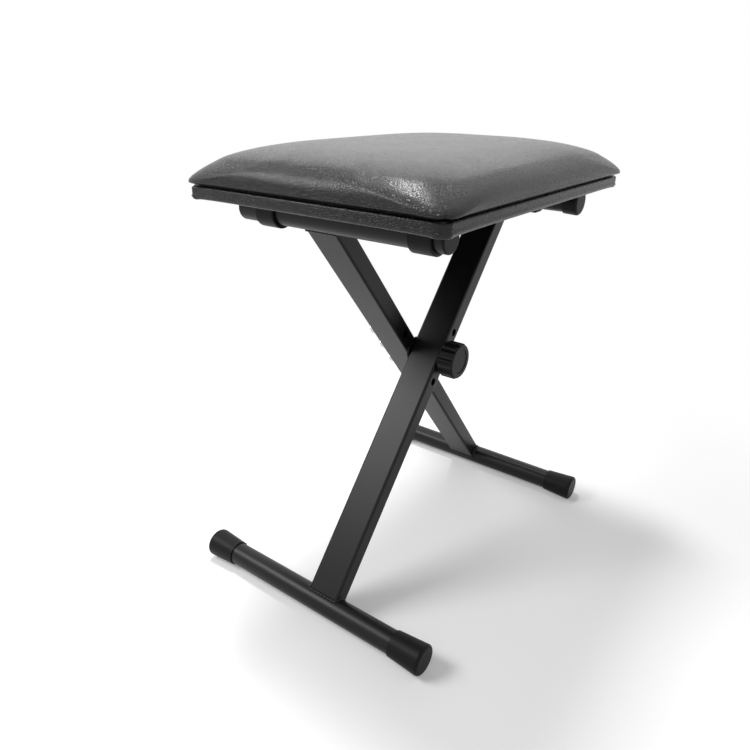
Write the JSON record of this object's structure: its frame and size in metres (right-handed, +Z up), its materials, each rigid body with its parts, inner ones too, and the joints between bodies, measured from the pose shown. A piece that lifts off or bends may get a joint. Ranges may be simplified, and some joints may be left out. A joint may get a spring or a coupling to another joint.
{
  "type": "folding keyboard bench",
  "caption": "Folding keyboard bench with crossed flat tube legs on a knob bolt, round foot tubes with rubber caps, and a padded vinyl seat hooked over round seat tubes.",
  "frame": {"origin": "on the floor, under the middle of the four feet", "axes": "+Z up, +X along the seat's long side, +Y along the foot tubes, away from the knob"},
  "size_m": [0.4144, 0.3, 0.4755],
  "materials": {
    "frame_black": "satin",
    "cap_rubber": "matte",
    "plug_plastic": "matte",
    "strap_plastic": "satin",
    "steel": "zinc plated",
    "spacer_nylon": "matte",
    "plywood": "raw",
    "foam": "open cell foam",
    "vinyl": "grained semi gloss vinyl",
    "knob_plastic": "moulded"
  },
  "bodies": {
    "rear_frame": {"rear_leg": "frame_black", "right_foot_tube": "frame_black", "right_foot_cap_front": "cap_rubber", "right_foot_cap_rear": "cap_rubber", "left_seat_tube": "frame_black", "left_tube_plug_front": "plug_plastic", "left_tube_plug_rear": "plug_plastic", "weld_nuts": "steel", "leg_spacer": "spacer_nylon"},
    "front_frame": {"front_leg": "frame_black", "left_foot_tube": "frame_black", "left_foot_cap_front": "cap_rubber", "left_foot_cap_rear": "cap_rubber", "right_seat_tube": "frame_black", "right_tube_bumper_front": "cap_rubber", "right_tube_bumper_rear": "cap_rubber"},
    "seat": {"seat_board": "plywood", "seat_foam": "foam", "seat_cover": "vinyl", "tube_saddle_front": "strap_plastic", "tube_saddle_rear": "strap_plastic", "tube_hook_front": "strap_plastic", "tube_hook_rear": "strap_plastic", "saddle_screws": "steel", "hook_screws": "steel"},
    "bolt_washer": {"knob_washer": "steel"},
    "knob": {"knob_grip": "knob_plastic", "knob_cap": "knob_plastic", "knob_bolt": "steel"}
  },
  "joints": [
    {"name": "fold", "type": "hinge", "parent": "rear_frame", "child": "front_frame", "pos_m": [0, 0, 0.24727], "axis": [0, -1, 0], "range_deg": [0, 66]},
    {"name": "seat_hinge", "type": "hinge", "parent": "rear_frame", "child": "seat", "pos_m": [-0.1375, 0, 0.41385], "axis": [0, -1, 0], "range_deg": [0, 33]},
    {"name": "bolt_pull", "type": "slide", "parent": "rear_frame", "child": "bolt_washer", "axis": [0, -1, 0], "range_m": [0, 0.092]},
    {"name": "knob_turn", "type": "hinge", "parent": "bolt_washer", "child": "knob", "pos_m": [0, 0, 0.24727], "axis": [0, -1, 0], "continuous": true}
  ],
  "couplings": [
    {"joint": "seat_hinge", "follows": "fold", "ratio": 0.5}
  ]
}
